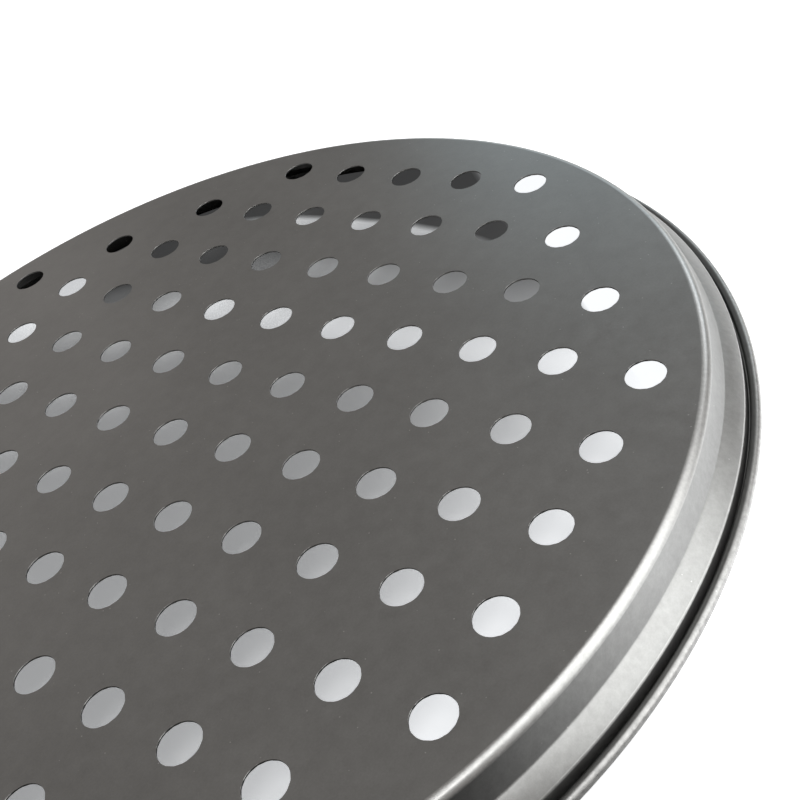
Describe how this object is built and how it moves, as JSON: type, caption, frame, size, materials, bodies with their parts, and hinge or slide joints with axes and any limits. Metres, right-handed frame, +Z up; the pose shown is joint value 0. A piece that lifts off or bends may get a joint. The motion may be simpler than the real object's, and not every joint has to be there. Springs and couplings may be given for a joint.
{
  "type": "perforated pizza pan",
  "caption": "Round shallow pizza pan with a grid of round holes through its flat base, a low wall with a sloping skirt and a rolled rim. It lies base up on the rim.",
  "frame": {"origin": "centre of the plane that the rolled rim rests on", "axes": "+Z up through the middle of the pan, out of the underside of its base, which faces up; +X and +Y along the rows of the square hole grid"},
  "size_m": [0.32, 0.32, 0.017],
  "materials": {
    "coated_steel": "satin"
  },
  "bodies": {
    "root": {"pan": "coated_steel"}
  },
  "joints": []
}
